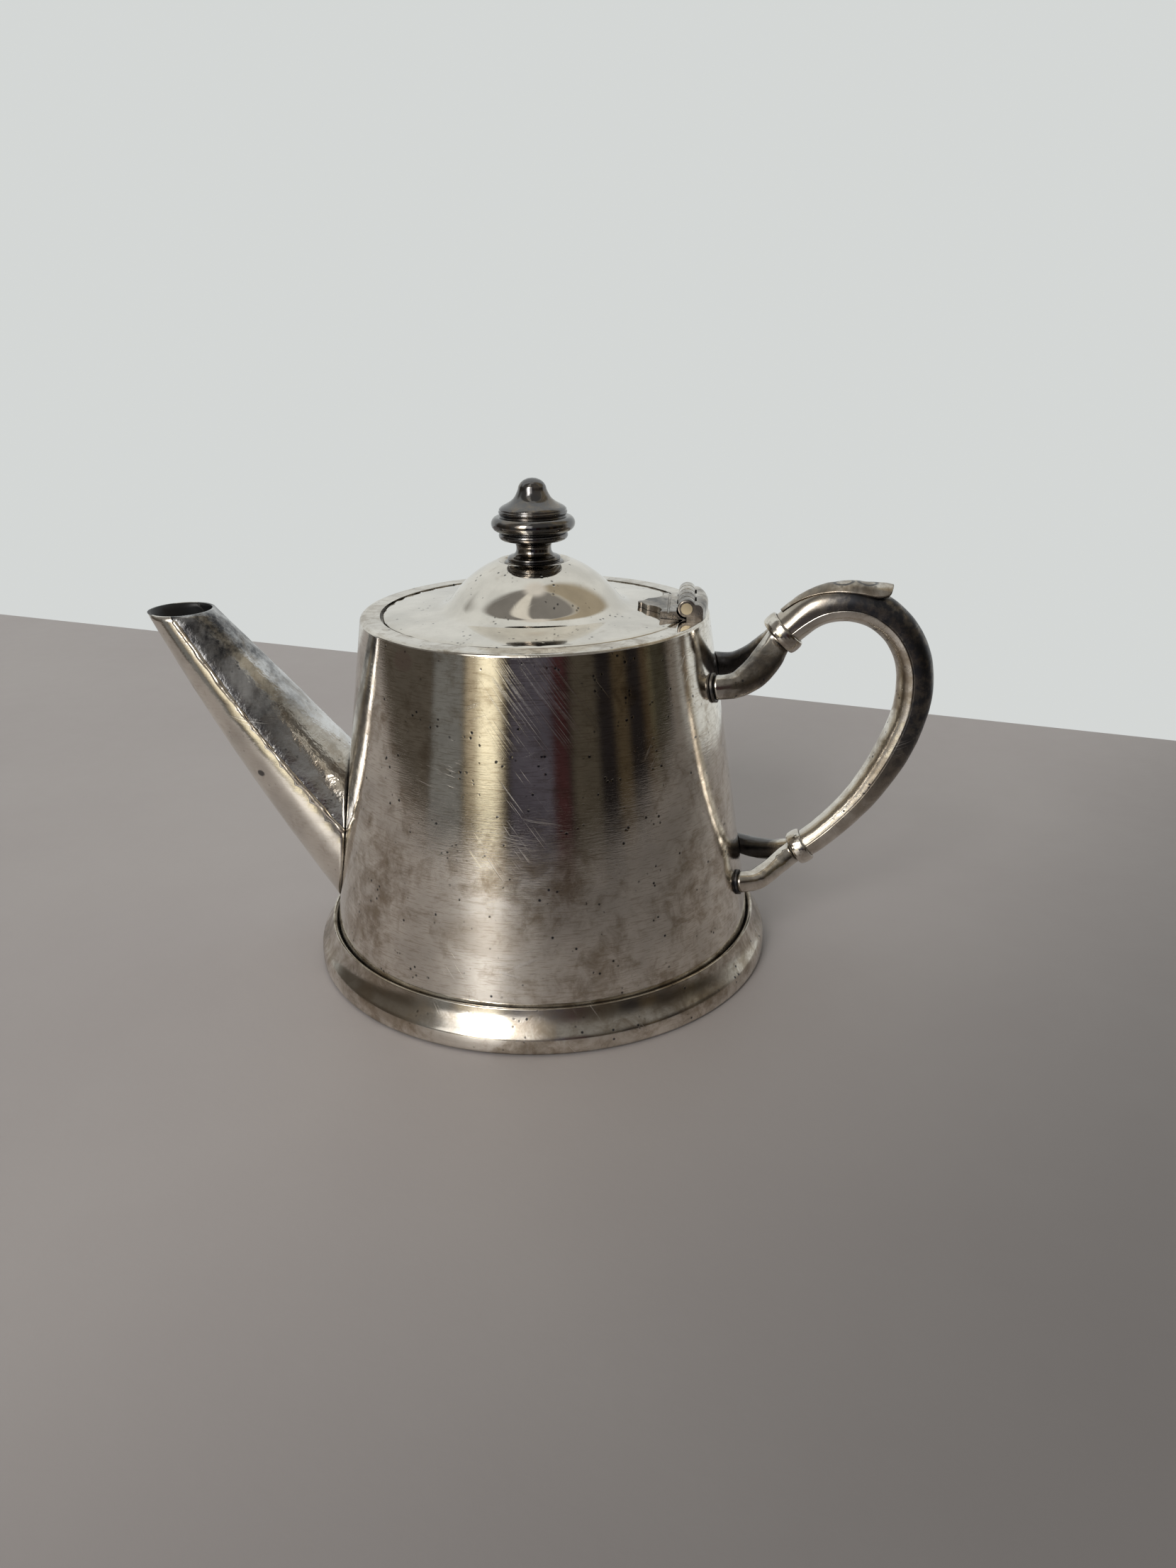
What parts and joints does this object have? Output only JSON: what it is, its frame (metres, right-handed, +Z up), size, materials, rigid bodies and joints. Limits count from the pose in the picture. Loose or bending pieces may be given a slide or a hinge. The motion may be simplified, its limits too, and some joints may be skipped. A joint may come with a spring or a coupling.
{
  "type": "teapot",
  "caption": "Small silver-plated teapot: tapered round body on a skirted foot, straight raised spout, hinged lid with a turned finial, and a hollow loop handle held on forked brackets.",
  "frame": {"origin": "on the table at the middle of the foot ring, on the body's axis", "axes": "+Z up along the body's axis, +X towards the handle (the spout points to -X), +Y completes the right-handed frame and is square to the plane of spout and handle"},
  "size_m": [0.1651, 0.1, 0.1013],
  "materials": {
    "body": "worn silver plate, fine horizontal brush marks and brown tarnish",
    "base": "dull silver plate",
    "spout_upper": "worn silver plate with dark mottled tarnish",
    "spout_lower": "worn silver plate, satin",
    "solder": "dull uneven solder",
    "hinge": "worn silver plate, dark in the gaps",
    "lid": "polished silver plate with small pits",
    "finial": "turned silver plate, near-black tarnish in the grooves",
    "handle": "dark tarnished silver plate with long scratches",
    "handle_inner": "pitted satin silver plate",
    "thumb_rest": "worn silver plate with two pressed hollows",
    "collar": "worn silver plate",
    "fork": "cast silver plate, pitted"
  },
  "bodies": {
    "pot": {"body_shell": "body", "mouth_ring": "body", "base_disc": "base", "foot_ring": "body", "spout_upper_shell": "spout_upper", "spout_lower_shell": "spout_lower", "spout_seam_solder": "solder", "body_hinge_leaf": "hinge", "hinge_pin": "hinge", "handle_outer_shell": "handle", "handle_inner_shell": "handle_inner", "thumb_rest": "thumb_rest", "upper_collar": "collar", "lower_collar": "collar", "upper_fork": "fork", "lower_fork": "fork", "upper_fork_pads": "solder", "lower_fork_pads": "solder"},
    "lid": {"lid_plate": "lid", "lid_bezel": "lid", "lid_hinge_leaf": "hinge", "finial": "finial", "finial_washer": "base", "finial_nut": "base"}
  },
  "joints": [
    {"name": "lid_hinge", "type": "hinge", "parent": "pot", "child": "lid", "pos_m": [0.0312, 0, 0.0772], "axis": [0, 1, 0], "range_deg": [0, 105]}
  ]
}
